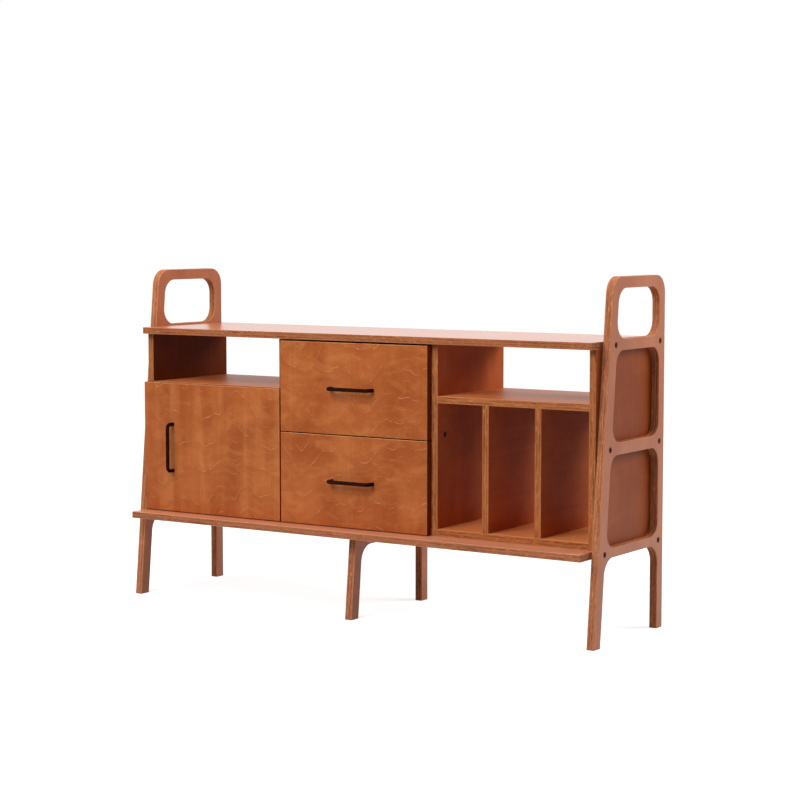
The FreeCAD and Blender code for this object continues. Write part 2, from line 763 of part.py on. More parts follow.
def drawer_channel(side, centre_z, screws, screw_holes):
    web = (slide_space - slide_sheet, slide_space)
    flange = (slide_space - slide_inner_flange, slide_space)
    channel = slide_channel(side, centre_z, web, flange, slide_inner_half, slide_length)
    holes = []
    for screw_y in (slide_front_y + slide_screw_inset,
                    slide_front_y + slide_length - slide_screw_inset):
        face_point = place(side * (bay_side_x - slide_space + slide_sheet), screw_y, centre_z)
        fit_screw(face_point, along_x * -side, fitting_screw_short_length, screws, holes)
    screw_holes.extend(holes)
    return without(channel, holes)


# Handles: a bent round bar, its feet square to the front it stands on

def bar_handle(centre, bar_direction):
    """Handle with its bar along one direction, standing off towards -Y."""
    half_spacing = handle_hole_spacing / 2
    foot_length = handle_bar_stand_off - handle_bend_radius
    bar_length = handle_hole_spacing - handle_bend_radius * 2
    outwards = -along_y
    bar_start = centre - bar_direction * (bar_length / 2) + outwards * handle_bar_stand_off
    pieces = [rod(handle_bar_radius, bar_length, bar_start, bar_direction)]
    for side in sides:
        foot = centre + bar_direction * (half_spacing * side)
        pieces.append(rod(handle_bar_radius, foot_length, foot, outwards))
        bend_start = foot + outwards * foot_length
        bend_centre = bend_start - bar_direction * (handle_bend_radius * side)
        section = Part.Face(Part.Wire(Part.makeCircle(handle_bar_radius, bend_start, outwards)))
        axis = bar_direction.cross(outwards) * side
        quarter_turn = 90
        pieces.append(section.revolve(bend_centre, axis, quarter_turn))
    handle = pieces[0].multiFuse(pieces[1:]).removeSplitter()
    holes = [rod(handle_screw_radius, handle_screw_grip,
                 centre + bar_direction * (half_spacing * side), outwards) for side in sides]
    return handle.cut(holes)


def handle_screw(foot, inside_y):
    """Screw from inside a front, through it and into a handle's foot."""
    face_point = place(foot.x, inside_y, foot.z)
    length = inside_y - foot.y + handle_screw_grip
    screw = pan_screw(face_point, -along_y, length, handle_screw_radius,
                      handle_screw_head_radius, handle_screw_head_height)
    hole = screw_hole(face_point, -along_y, length, handle_screw_radius)
    return screw, hole


# Door

door_handle_x = door_left_x + door_handle_edge_inset
door_centre_z = (front_bottom_z + door_top_z) / 2
door_handle_centre = place(door_handle_x, front_face_y, door_centre_z)
door_handle_screws = []
for side in sides:
    handle_foot = door_handle_centre + along_z * (side * handle_hole_spacing / 2)
    screw, hole = handle_screw(handle_foot, front_rear_y)
    door_handle_screws.append(screw)
    door_screw_holes.append(hole)
door = block((door_left_x, front_face_y, front_bottom_z), (door_right_x, front_rear_y, door_top_z))
door = eased(door, front_edge_radius, -along_y, along_x, along_z)
door = without(door, [hinge_pocket(centre_z) for centre_z in hinge_centres_z])
door = without(door, door_screw_holes)
save("door", door)
save("door_handle", bar_handle(door_handle_centre, along_z))
save("door_handle_screws", door_handle_screws)
save("hinge_leaves", hinge_leaves)
save("hinge_pins", hinge_pins)
save("catch_plate", catch_plate)
save("door_fitting_screws", door_screws)

# Drawers

drawer_side_x = bay_side_x - slide_space
drawer_inner_x = drawer_side_x - drawer_wall_thickness
drawer_front_inner_y = front_rear_y + drawer_wall_thickness
drawer_rear_y = front_rear_y + drawer_box_length
drawer_rear_inner_y = drawer_rear_y - drawer_wall_thickness
cabinet_channels = []


def drawer(name, front_low_z, box_low_z):
    """One drawer: front, four walls, grooved bottom, handle, runners and screws."""
    front_high_z = front_low_z + drawer_front_height
    box_high_z = box_low_z + drawer_box_height
    slide_z = box_low_z + slide_height_above_box_floor
    screws = []
    holes = []
    handle_centre = place(0, front_face_y, (front_low_z + front_high_z) / 2)
    for side in sides:
        foot = handle_centre + along_x * (side * handle_hole_spacing / 2)
        screw, hole = handle_screw(foot, drawer_front_inner_y)
        screws.append(screw)
        holes.append(hole)
        for screw_z in (box_low_z + front_screw_edge_inset, box_high_z - front_screw_edge_inset):
            face_point = place(side * (drawer_inner_x - front_screw_side_inset),
                               drawer_front_inner_y, screw_z)
            fit_screw(face_point, -along_y, front_screw_length, screws, holes)
    runners = [drawer_channel(side, slide_z, screws, holes) for side in sides]
    bottom_low_z = box_low_z + drawer_bottom_recess
    bottom_edge_x = drawer_inner_x + drawer_groove_depth - drawer_groove_clearance
    bottom = block((-bottom_edge_x, drawer_front_inner_y - drawer_groove_depth
                    + drawer_groove_clearance, bottom_low_z),
                   (bottom_edge_x, drawer_rear_inner_y + drawer_groove_depth
                    - drawer_groove_clearance, bottom_low_z + drawer_bottom_thickness))
    groove = block((-drawer_inner_x - drawer_groove_depth,
                    drawer_front_inner_y - drawer_groove_depth,
                    bottom_low_z - drawer_groove_clearance),
                   (drawer_inner_x + drawer_groove_depth,
                    drawer_rear_inner_y + drawer_groove_depth,
                    bottom_low_z + drawer_bottom_thickness + drawer_groove_clearance))
    front = block((-drawer_front_half_width, front_face_y, front_low_z),
                  (drawer_front_half_width, front_rear_y, front_high_z))
    left_wall = block((-drawer_side_x, front_rear_y, box_low_z),
                      (-drawer_inner_x, drawer_rear_y, box_high_z))
    right_wall = block((drawer_inner_x, front_rear_y, box_low_z),
                       (drawer_side_x, drawer_rear_y, box_high_z))
    inner_front = block((-drawer_inner_x, front_rear_y, box_low_z),
                        (drawer_inner_x, drawer_front_inner_y, box_high_z))
    rear_wall = block((-drawer_inner_x, drawer_rear_inner_y, box_low_z),
                      (drawer_inner_x, drawer_rear_y, box_high_z))
    front = eased(front, front_edge_radius, -along_y, along_x, along_z)
    left_wall = eased(left_wall, drawer_edge_radius, along_z, along_y)
    right_wall = eased(right_wall, drawer_edge_radius, along_z, along_y)
    inner_front = eased(inner_front, drawer_edge_radius, along_z, along_x)
    rear_wall = eased(rear_wall, drawer_edge_radius, along_z, along_x)
    save(f"{name}_drawer_front", without(front, holes))
    save(f"{name}_drawer_left_side", without(left_wall, holes + [groove]))
    save(f"{name}_drawer_right_side", without(right_wall, holes + [groove]))
    save(f"{name}_drawer_inner_front", without(inner_front, holes + [groove]))
    save(f"{name}_drawer_back", without(rear_wall, [groove]))
    save(f"{name}_drawer_bottom", bottom)
    save(f"{name}_drawer_handle", bar_handle(handle_centre, along_x))
    save(f"{name}_drawer_screws", screws)
    save(f"{name}_drawer_runners", runners)
    save(f"{name}_slide_middle_channels", [middle_channel(side, slide_z) for side in sides])
    cabinet_channels.extend(cabinet_channel(side, slide_z) for side in sides)


drawer("lower", front_bottom_z, bottom_panel_top_z + drawer_box_floor_gap)
drawer("upper", upper_front_bottom_z, drawer_rail_top_z + drawer_box_floor_gap)
save("slide_cabinet_channels", cabinet_channels)

# Carcass

carcass_holes = bolt_holes + nut_holes + dowel_holes + countersunk_holes + fitting_screw_holes


def save_board(name, low, high, facings, direction, cutters=()):
    """Save a board of the carcass, its edges along one direction eased where they face out."""
    board = block(low, high)
    for facing in facings:
        board = eased(board, board_edge_radius, facing, direction)
    save(name, without(board, carcass_holes + list(cutters)))


front_and_rear = (-along_y, along_y)
front_only = (-along_y,)
save_board("base_board", (-board_end_x, base_front_y, base_board_underside_height),
           (board_end_x, rear_y, base_top_z), front_and_rear, along_x)
save_board("top_board", (-board_end_x, top_front_y, top_board_underside_height),
           (board_end_x, rear_y, top_board_top_z), front_and_rear, along_x)
save("left_end_frame", without(end_frame(-frame_face_x), carcass_holes))
save("right_end_frame", without(end_frame(board_end_x), carcass_holes))
centre_leg = frame_blank(-frame_thickness / 2, base_board_underside_height, 0,
                         base_board_underside_height - centre_leg_rail_height)
save("centre_leg_frame", without(rounded_frame(centre_leg), carcass_holes))

for name, side in (("left", left_side), ("right", right_side)):
    side_xs = sorted((side * side_inner_x, side * board_end_x))
    save_board(f"{name}_side_panel", (side_xs[0], carcass_front_y, base_top_z),
               (side_xs[1], rear_y, top_board_underside_height), front_and_rear, along_z)
    divider_xs = sorted((side * bay_side_x, side * divider_side_x))
    rebate_xs = sorted((side * (bay_side_x - drilling_overrun),
                        side * (bay_side_x + back_rebate_width)))
    rebate = block((rebate_xs[0], shelf_rear_y, base_top_z),
                   (rebate_xs[1], rear_y + drilling_overrun, top_board_underside_height))
    save_board(f"{name}_divider", (divider_xs[0], carcass_front_y, base_top_z),
               (divider_xs[1], rear_y, top_board_underside_height), front_only, along_z,
               [rebate])
    low_x, high_x = bay_ranges_x[name]
    save_board(f"{name}_shelf", (low_x, carcass_front_y, shelf_underside_height),
               (high_x, bay_rears_y[name], shelf_top_z), front_only, along_x)

left_back = block((left_bay_low_x + back_panel_clearance, shelf_rear_y, base_top_z),
                  (left_bay_high_x - back_panel_clearance, rear_y, shelf_top_z))
save("left_back_panel", without(left_back, carcass_holes))
centre_back_x = bay_side_x + back_rebate_width - back_panel_clearance
centre_back = block((-centre_back_x, shelf_rear_y, base_top_z),
                    (centre_back_x, rear_y, top_board_underside_height))
save("centre_back_panel", without(centre_back, carcass_holes))
for name, (low_x, high_x) in bay_ranges_x.items():
    save_board(f"{name}_bottom_panel", (low_x, carcass_front_y, base_top_z),
               (high_x, bay_rears_y[name], bottom_panel_top_z), front_only, along_x)
partition_names = ("left", "right")
for name, low_x in zip(partition_names, partition_starts_x):
    save_board(f"{name}_record_partition", (low_x, carcass_front_y, bottom_panel_top_z),
               (low_x + board_thickness, bay_rears_y["right"], shelf_underside_height),
               front_only, along_z)
save_board("drawer_rail", (-bay_side_x, carcass_front_y, drawer_rail_underside_z),
           (bay_side_x, carcass_front_y + drawer_rail_depth, drawer_rail_top_z),
           front_only, along_x)

# Fittings and fasteners of the carcass

save("hinge_arms", hinge_arms)
save("door_catch", door_catch)
save("connector_bolts", connector_bolts)
save("panel_bolts", panel_bolts)
save("barrel_nuts", barrel_nuts)
save("threaded_inserts", threaded_inserts)
save("dowels", dowels)
save("leg_screws", leg_screws)
save("board_screws", board_screws)
save("back_screws", back_screws)
save("fitting_screws", fitting_screws)
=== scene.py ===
import math
from collections import namedtuple

import bpy
from mathutils import Euler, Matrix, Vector


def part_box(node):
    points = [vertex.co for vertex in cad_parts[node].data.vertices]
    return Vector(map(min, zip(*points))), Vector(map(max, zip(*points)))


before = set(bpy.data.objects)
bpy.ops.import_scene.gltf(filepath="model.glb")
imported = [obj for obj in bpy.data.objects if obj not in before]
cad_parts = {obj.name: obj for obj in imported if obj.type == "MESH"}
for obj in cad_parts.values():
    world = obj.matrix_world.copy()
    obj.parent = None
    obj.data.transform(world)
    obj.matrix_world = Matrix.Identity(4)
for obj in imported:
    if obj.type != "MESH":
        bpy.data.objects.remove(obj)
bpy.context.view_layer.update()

# The looks of a plywood credenza: stained birch plywood, blackened bolts, dark bronze handles
# and plated fittings. Lengths are in metres, X to the right, Y to the back, Z up. The scales of
# noise are in features per metre.

mm = 0.001

# Camera, as fitted to the photograph
camera_place = (3.0421, -4.5570, 1.0239)
camera_turn_degrees = 33.27
camera_tilt_degrees = -4.81
camera_lens_mm = 93.49
camera_sensor_mm = 36.0
level_view_degrees = 90.0

# Stains of the faces, as linear red, green and blue
Stain = namedtuple("Stain", "base dark pale line")
front_stain = Stain(
    base=(0.400, 0.104, 0.026),
    dark=(0.300, 0.066, 0.013),
    pale=(0.540, 0.190, 0.055),
    line=(0.700, 0.360, 0.160),
)
frame_stain = Stain(
    base=(0.452, 0.142, 0.059),
    dark=(0.369, 0.104, 0.040),
    pale=(0.520, 0.181, 0.081),
    line=(0.580, 0.250, 0.122),
)
top_board_stain = Stain(
    base=(0.440, 0.130, 0.048),
    dark=(0.370, 0.098, 0.034),
    pale=(0.500, 0.160, 0.066),
    line=(0.560, 0.220, 0.100),
)
base_board_stain = Stain(
    base=(0.625, 0.248, 0.134),
    dark=(0.545, 0.203, 0.104),
    pale=(0.685, 0.288, 0.160),
    line=(0.710, 0.330, 0.190),
)
shelf_stain = Stain(
    base=(0.620, 0.195, 0.064),
    dark=(0.530, 0.150, 0.045),
    pale=(0.680, 0.240, 0.090),
    line=(0.700, 0.290, 0.125),
)
inner_stain = Stain(
    base=(0.500, 0.118, 0.032),
    dark=(0.395, 0.082, 0.020),
    pale=(0.580, 0.158, 0.048),
    line=(0.600, 0.200, 0.076),
)
side_stain = Stain(
    base=(0.285, 0.062, 0.014),
    dark=(0.225, 0.042, 0.007),
    pale=(0.360, 0.098, 0.028),
    line=(0.430, 0.140, 0.048),
)
clear_birch = Stain(
    base=(0.610, 0.430, 0.255),
    dark=(0.500, 0.325, 0.175),
    pale=(0.700, 0.530, 0.350),
    line=(0.740, 0.590, 0.420),
)

# Painted shade: a darker tone multiplies the colour of one side of a sheet, standing in for the
# shade on the left side panel's inner face
painted_shade_tone = (0.48, 0.40, 0.42)
high_side = 1.0

# Stains of the edges, from the lightest to the darkest ply
EdgeStain = namedtuple("EdgeStain", "light dark")
frame_edge = EdgeStain((0.425, 0.164, 0.076), (0.225, 0.067, 0.027))
inner_edge = EdgeStain((0.380, 0.132, 0.047), (0.162, 0.041, 0.012))
top_edge = EdgeStain((0.350, 0.122, 0.050), (0.195, 0.054, 0.020))
base_edge = EdgeStain((0.370, 0.136, 0.064), (0.205, 0.060, 0.026))
# The fronts' edges are plywood edges, stained here far darker than the other edges as painted
# shade on their side faces and in the gaps between fronts
shaded_front_edge = EdgeStain((0.185, 0.032, 0.006), (0.105, 0.015, 0.002))
birch_edge = EdgeStain((0.640, 0.470, 0.290), (0.330, 0.200, 0.105))

# Finish of the boards: the wood's roughness, the lacquer on it and the depth of its grain
Finish = namedtuple("Finish", "roughness lacquer_share lacquer_roughness relief_depth",
                    defaults=(0.42, 0.12 * mm))
front_finish = Finish(0.42, 0.24)
frame_finish = Finish(0.42, 0.68)
top_board_finish = Finish(0.32, 1.0, 0.26, 0.03 * mm)
base_board_finish = Finish(0.36, 0.9, 0.36, 0.05 * mm)
left_side_finish = Finish(0.55, 0.04)
right_side_finish = Finish(0.50, 0.28)
inner_finish = Finish(0.50, 0.03)
level_finish = Finish(0.46, 0.45)
drawer_box_finish = Finish(0.50, 0.40)
bare_gloss = 0.04
relief_strength = 0.6
roughness_dip = 0.02
roughness_rise = 0.03
edge_roughness_rise = 0.14

# Figure of the veneer: how far growth lines wander, how many there are, and how strong each
# kind of mark is. A heart, at its place across the board, bends the lines into points.
Figure = namedtuple(
    "Figure",
    "wander ripple lines_per_metre line_width line_share streaks bands threads flames"
    " heart heart_reach heart_slope",
    defaults=(None, None, None))
plain_figure = Figure(
    wander=2.0, ripple=0.30, lines_per_metre=5.0, line_width=0.020, line_share=0.08,
    streaks=0.50, bands=0.35, threads=0.12, flames=0.30)
door_figure = Figure(
    wander=3.6, ripple=0.30, lines_per_metre=14.0, line_width=0.024, line_share=0.55,
    streaks=0.35, bands=0.50, threads=0.08, flames=0.40)
drawer_figure = Figure(
    wander=2.2, ripple=0.34, lines_per_metre=15.0, line_width=0.024, line_share=0.54,
    streaks=0.15, bands=0.20, threads=0.05, flames=0.46,
    heart=-0.165, heart_reach=0.07, heart_slope=15.0)

# Noise along the grain, across it and through the sheet
Noise = namedtuple("Noise", "along across through detail roughness distortion", defaults=(0.0,))
wander_noise = Noise(2.4, 9.5, 9.5, 1.5, 0.50)
ripple_noise = Noise(16.0, 38.0, 38.0, 3.0, 0.60)
line_noise = Noise(20.0, 30.0, 30.0, 3.0, 0.65)
faint_line_noise = Noise(17.0, 25.0, 25.0, 3.0, 0.65)
cloud_noise = Noise(6.0, 8.0, 8.0, 2.0, 0.50, 0.6)
flame_noise = Noise(24.0, 11.0, 11.0, 4.0, 0.65, 1.2)
band_noise = Noise(1.6, 14.0, 14.0, 3.0, 0.55, 0.4)
thread_noise = Noise(1.2, 55.0, 55.0, 2.0, 0.50)
streak_noise = Noise(3.0, 70.0, 70.0, 3.0, 0.60)
fibre_noise = Noise(22.0, 420.0, 420.0, 2.0, 0.60)
slow_ply_noise = Noise(7.0, 7.0, 260.0, 2.0, 0.50)
fine_ply_noise = Noise(22.0, 22.0, 430.0, 2.0, 0.60)
fleck_noise = Noise(75.0, 75.0, 380.0, 3.0, 0.65)
highlight_breakup_noise = Noise(45.0, 45.0, 45.0, 3.0, 0.60)

# Values of noise between which a mark sets in
noise_middle = 0.5
line_fade = (0.43, 0.62)
faint_line_fade = (0.44, 0.62)
cloud_fade = (0.30, 0.70)
flame_fade = (0.42, 0.72)
band_fade = (0.44, 0.68)
thread_fade = (0.60, 0.72)
streak_fade = (0.45, 0.80)
fibre_fade = (0.35, 0.75)
fleck_fade = (0.52, 0.66)
highlight_breakup_fade = (0.30, 0.65)

# Growth rings: the line's place in a ring, the shade before it and the fainter lines between
line_place = 0.5
ring_shade_end = 0.56
ring_shade_share = 0.28
faint_lines_per_line = 2.7
faint_line_shift = 0.21
faint_line_widening = 2.2
faint_line_share = 0.35
fibre_share = 0.22

# Plies seen on an edge
ply_thickness = 3.6 * mm
parity_share = 0.28
ply_tone_share = 0.25
slow_ply_share = 1.3
fine_ply_share = 1.5
dark_ply_fade = (0.0, 0.85)
fleck_share = 0.75
fleck_brightness = 1.5

# Where a face ends and an edge begins, as the share of the normal that lies across the sheet
usual_edge_reach = 0.60
# On the fronts the dark edge colour reaches far onto the rounding, as painted shade along the gaps
front_shade_edge_reach = 0.88
edge_fade_width = 0.25
deep_face_fade = (0.35, 0.60)

# Rims between the two take a painted highlight, and how much of it is left where they don't face
# up
rim_start_fade = (0.35, 0.55)
rim_end_fade = (0.90, 0.99)
least_highlight_share = 0.45
upward_fade = (0.1, 0.4)
usual_rim_share = 1.0
front_rim_share = 0.25

# Each board's figure is shifted by its seed, along the grain, across it and through the sheet
seed_shifts = (0.73, 0.41, 1.37)
door_seed = 1.0
drawer_front_seed = 2.0
frame_seed = 3.0
top_board_seed = 7.0
base_board_seed = 8.0
left_side_seed = 10.0
right_side_seed = 11.0
inner_seed = 12.0
level_seed = 25.0
drawer_box_seed = 30.0

# Painted metal
bronze_color = (0.014, 0.0030, 0.0018)
worn_bronze_color = (0.034, 0.008, 0.004)
bronze_roughness = 0.38
black_color = (0.050, 0.015, 0.008)
worn_black_color = (0.110, 0.040, 0.024)
black_roughness = 0.42
paint_gloss = 0.03
paint_speckle_scale = 900.0
paint_wear_scale = 60.0
paint_wear_fade = (0.40, 0.75)
paint_wear_share = 0.6
paint_roughness_dip = 0.08
paint_roughness_rise = 0.10
paint_relief_depth = 0.03 * mm
paint_relief_strength = 0.5

# Plated steel and brass
drawer_zinc_color = (0.62, 0.63, 0.66)
drawer_zinc_roughness = 0.34
fitting_zinc_color = (0.46, 0.47, 0.50)
fitting_zinc_roughness = 0.40
brass_color = (0.66, 0.47, 0.20)
brass_roughness = 0.34
drawn_line_scale = 1400.0
drawn_length_scale = 12.0
plating_patch_scale = 35.0
plating_patch_fade = (0.35, 0.70)
plating_dark_share = 0.72
plating_roughness_dip = 0.10
plating_roughness_rise = 0.12
plating_relief_depth = 0.02 * mm
plating_relief_strength = 0.4

# Plastic of the door catch
plastic_color = (0.055, 0.028, 0.016)
pale_plastic_color = (0.10, 0.06, 0.04)
pale_plastic_share = 0.3
plastic_roughness = (0.45, 0.60)
plastic_gloss = 0.15
plastic_grain_scale = 1600.0
plastic_relief_depth = 0.04 * mm
plastic_relief_strength = 0.5

# Beech of the dowels
beech_color = (0.56, 0.36, 0.21)
dark_beech_color = (0.42, 0.25, 0.14)
beech_scales = (900.0, 900.0, 60.0)
beech_fade = (0.40, 0.70)
beech_roughness = 0.6
beech_relief_depth = 0.05 * mm
beech_relief_strength = 0.5

# Noise on metal, plastic and dowels
surface_fade = (0.30, 0.70)
smooth_detail = 2.0
rich_detail = 3.0
even_roughness = 0.5
lively_roughness = 0.6

# Floor, just below the feet. Its glow grows with the distance from the middle.
floor_size = 40.0
floor_gap = 0.2 * mm
floor_color = (0.5, 0.5, 0.5)
floor_glow = (0.78, 1.0)
floor_glow_reach = (1.0, 2.4)
background_white = (1.0, 1.0, 1.0)

# The world's strength on the credenza, and where the world is seen
world_strength = (0.05, 1.0)

# Lamps
light_target = (0.0, 0.0, 0.45)
Lamp = namedtuple("Lamp", "name place size energy")
lamps = (
    Lamp("key", place=(-0.2, -4.0, 3.7), size=3.6, energy=270.0),
    Lamp("side", place=(2.1, 1.45, 1.95), size=1.6, energy=58.0),
    Lamp("top", place=(-0.5, -0.2, 3.4), size=1.6, energy=42.0),
)

axis_names = "xyz"
upward_axis = axis_names.index("z")
noise_unit = 1.0
true_scale = (noise_unit, noise_unit, noise_unit)
no_shift = (0.0, 0.0, 0.0)


class Nodes:
    """A node tree that grows by one call at a time."""

    def __init__(self, tree, output_kind):
        self.tree = tree
        self.tree.nodes.clear()
        self.output = self.tree.nodes.new(output_kind)

    def put(self, socket, value):
        """Link a socket, or set its value."""
        if isinstance(value, bpy.types.NodeSocket):
            self.tree.links.new(value, socket)
        elif isinstance(value, tuple) and len(value) < len(socket.default_value):
            socket.default_value = (*value, 1.0)
        else:
            socket.default_value = value

    def node(self, kind, inputs, **settings):
        made = self.tree.nodes.new(kind)
        for key, value in settings.items():
            setattr(made, key, value)
        for key, value in inputs.items():
            self.put(made.inputs[key], value)
        return made

    def close(self, shader):
        self.tree.links.new(shader, self.output.inputs["Surface"])

    def math(self, operation, *values):
        return self.node("ShaderNodeMath", dict(enumerate(values)), operation=operation).outputs[0]

    def chain(self, operation, values):
        """Join any number of values, two at a time."""
        result = values[0]
        for value in values[1:]:
            result = self.math(operation, result, value)
        return result

    def add(self, *values):
        return self.chain("ADD", values)

    def multiply(self, *values):
        return self.chain("MULTIPLY", values)

    def subtract(self, *values):
        return self.chain("SUBTRACT", values)

    def axis(self, vector, index):
        """One coordinate of a vector."""
        return self.node("ShaderNodeSeparateXYZ", {"Vector": vector}).outputs[index]

    def ramp(self, value, low, high, out_low=0.0, out_high=1.0, kind="SMOOTHSTEP"):
        """Map a range of values to another, clamped."""
        made = self.node(
            "ShaderNodeMapRange",
            {"Value": value, "From Min": low, "From Max": high,
             "To Min": out_low, "To Max": out_high},
            interpolation_type=kind)
        return made.outputs["Result"]

    def fall(self, value, low, high):
        """1 up to the low value, 0 from the high value on."""
        return self.ramp(value, low, high, 1.0, 0.0)

    def seen_directly(self):
        """1 for rays from the camera, reflections and refractions, 0 for the rest."""
        path = self.node("ShaderNodeLightPath", {})
        kinds = ("Is Camera Ray", "Is Glossy Ray", "Is Transmission Ray")
        return self.chain("MAXIMUM", [path.outputs[kind] for kind in kinds])


class Look(Nodes):
    """A material laid out in the object's own coordinates."""

    def __init__(self, name):
        self.material = bpy.data.materials.new(name)
        self.material.use_nodes = True
        super().__init__(self.material.node_tree, "ShaderNodeOutputMaterial")
        coordinates = self.node("ShaderNodeTexCoord", {})
        self.place = coordinates.outputs["Object"]
        self.normal = coordinates.outputs["Normal"]

    def mix(self, share, first, second, blend="MIX"):
        made = self.node("ShaderNodeMix", {}, data_type="RGBA", blend_type=blend)
        used_sockets = [socket for socket in made.inputs if socket.enabled]
        for socket, value in zip(used_sockets, (share, first, second)):
            self.put(socket, value)
        return [socket for socket in made.outputs if socket.enabled][0]

    def noise(self, place, scale, detail, roughness, distortion=0.0):
        """Noise with values about a middle of one half."""
        made = self.node("ShaderNodeTexNoise",
                         {"Vector": place, "Scale": scale, "Detail": detail,
                          "Roughness": roughness, "Distortion": distortion})
        return made.outputs["Fac"]

    def stretched(self, place, scale, shift=no_shift):
        """A place scaled along each axis, then shifted."""
        made = self.node("ShaderNodeMapping",
                         {"Vector": place, "Scale": scale, "Location": shift},
                         vector_type="POINT")
        return made.outputs["Vector"]

    def bump(self, height, distance, strength):
        made = self.node("ShaderNodeBump",
                         {"Height": height, "Distance": distance, "Strength": strength})
        return made.outputs["Normal"]

    def surface(self, inputs):
        """Close the tree with the surface shader."""
        self.close(self.node("ShaderNodeBsdfPrincipled", inputs).outputs["BSDF"])
        return self.material


class Board:
    """The axes and the thickness of one board, read from its box."""

    def __init__(self, node_name, grain_name):
        low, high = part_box(node_name)
        sizes = [end - start for start, end in zip(low, high)]
        self.thick = sizes.index(min(sizes))
        flat_axes = [axis for axis in range(len(sizes)) if axis != self.thick]
        self.grain = max(flat_axes, key=lambda axis: sizes[axis])
        if grain_name:
            self.grain = axis_names.index(grain_name)
        self.other = [axis for axis in flat_axes if axis != self.grain][0]
        self.low_face = low[self.thick]
        self.thickness = sizes[self.thick]

    def ordered(self, along, across, through):
        """Put values for the grain, across it and through the sheet in X, Y, Z order."""
        by_axis = {self.grain: along, self.other: across, self.thick: through}
        return tuple(by_axis[axis] for axis in sorted(by_axis))

    def ply_count(self):
        """Plywood has an odd number of plies, at least three."""
        pairs = max(1, round((self.thickness / ply_thickness - 1) / 2))
        return 2 * pairs + 1


def layer(look, place, board, noise):
    """Noise laid out along a board's axes."""
    scales = board.ordered(noise.along, noise.across, noise.through)
    return look.noise(look.stretched(place, scales), noise_unit, noise.detail, noise.roughness,
                      noise.distortion)


def swing(look, place, board, noise, reach):
    """Noise that swings to both sides of zero."""
    return look.multiply(look.subtract(layer(look, place, board, noise), noise_middle), reach)


def growth_field(look, place, board, figure):
    """A height that climbs along the grain and zigzags across it. Its level lines are rings."""
    climb = look.multiply(look.axis(place, board.grain), figure.lines_per_metre)
    wander = swing(look, place, board, wander_noise, figure.wander)
    ripple = swing(look, place, board, ripple_noise, figure.ripple)
    field = look.add(climb, wander, ripple)
    if figure.heart is not None:
        across = look.subtract(look.axis(look.place, board.other), figure.heart)
        side = look.math("MINIMUM", look.math("ABSOLUTE", across), figure.heart_reach)
        field = look.subtract(field, look.multiply(side, figure.heart_slope))
    return field


def ring_line(look, field, width):
    """1 on each ring's line, 0 from its width on."""
    offset = look.subtract(look.math("FRACT", field), line_place)
    return look.fall(look.math("ABSOLUTE", offset), 0.0, width)


def veneer(look, place, board, stain, figure):
    """Colour of a rotary-cut birch face, with its fibres and clouds."""
    clouds = layer(look, place, board, cloud_noise)
    color = look.mix(look.ramp(clouds, *cloud_fade), stain.dark, stain.base)
    marks = (
        (flame_noise, flame_fade, figure.flames, stain.pale),
        (band_noise, band_fade, figure.bands, stain.pale),
        (thread_noise, thread_fade, figure.threads, stain.line),
        (streak_noise, streak_fade, figure.streaks, stain.dark),
    )
    for noise, fade, share, tone in marks:
        amount = look.multiply(look.ramp(layer(look, place, board, noise), *fade), share)
        color = look.mix(amount, color, tone)
    # Late wood shades each ring towards its line
    field = growth_field(look, place, board, figure)
    wave = look.math("FRACT", field)
    shade = look.multiply(look.ramp(wave, 0.0, line_place),
                          look.fall(wave, line_place, ring_shade_end), ring_shade_share)
    color = look.mix(shade, color, stain.dark)
    faint_field = look.add(look.multiply(field, faint_lines_per_line), faint_line_shift)
    faint_line = look.multiply(
        ring_line(look, faint_field, figure.line_width * faint_line_widening),
        look.ramp(layer(look, place, board, faint_line_noise), *faint_line_fade),
        figure.line_share * faint_line_share)
    color = look.mix(faint_line, color, stain.line)
    line = look.multiply(
        ring_line(look, field, figure.line_width),
        look.ramp(layer(look, place, board, line_noise), *line_fade),
        figure.line_share)
    color = look.mix(line, color, stain.line)
    fibres = layer(look, place, board, fibre_noise)
    color = look.mix(look.multiply(look.ramp(fibres, *fibre_fade), fibre_share), color, stain.dark)
    return color, fibres, clouds


def ply_edge(look, board, edge_stain, seed):
    """Colour of an edge: plies of changing tone with streaks along them, and its relief."""
    height = look.subtract(look.axis(look.place, board.thick), board.low_face)
    index = look.math("FLOOR", look.multiply(height, board.ply_count() / board.thickness))
    tone = look.node("ShaderNodeTexWhiteNoise", {"W": look.add(index, seed)},
                     noise_dimensions="1D").outputs["Value"]
    fine = layer(look, look.place, board, fine_ply_noise)
    darkness = look.add(
        look.multiply(look.math("PINGPONG", index, 1.0), parity_share),
        look.multiply(tone, ply_tone_share),
        swing(look, look.place, board, slow_ply_noise, slow_ply_share),
        look.multiply(look.subtract(fine, noise_middle), fine_ply_share))
    color = look.mix(look.ramp(darkness, *dark_ply_fade), edge_stain.light, edge_stain.dark)
    # Torn fibres take less stain and leave short pale flecks
    flecks = look.ramp(layer(look, look.place, board, fleck_noise), *fleck_fade)
    fleck_color = tuple(channel * fleck_brightness for channel in edge_stain.light)
    return look.mix(look.multiply(flecks, fleck_share), color, fleck_color), fine


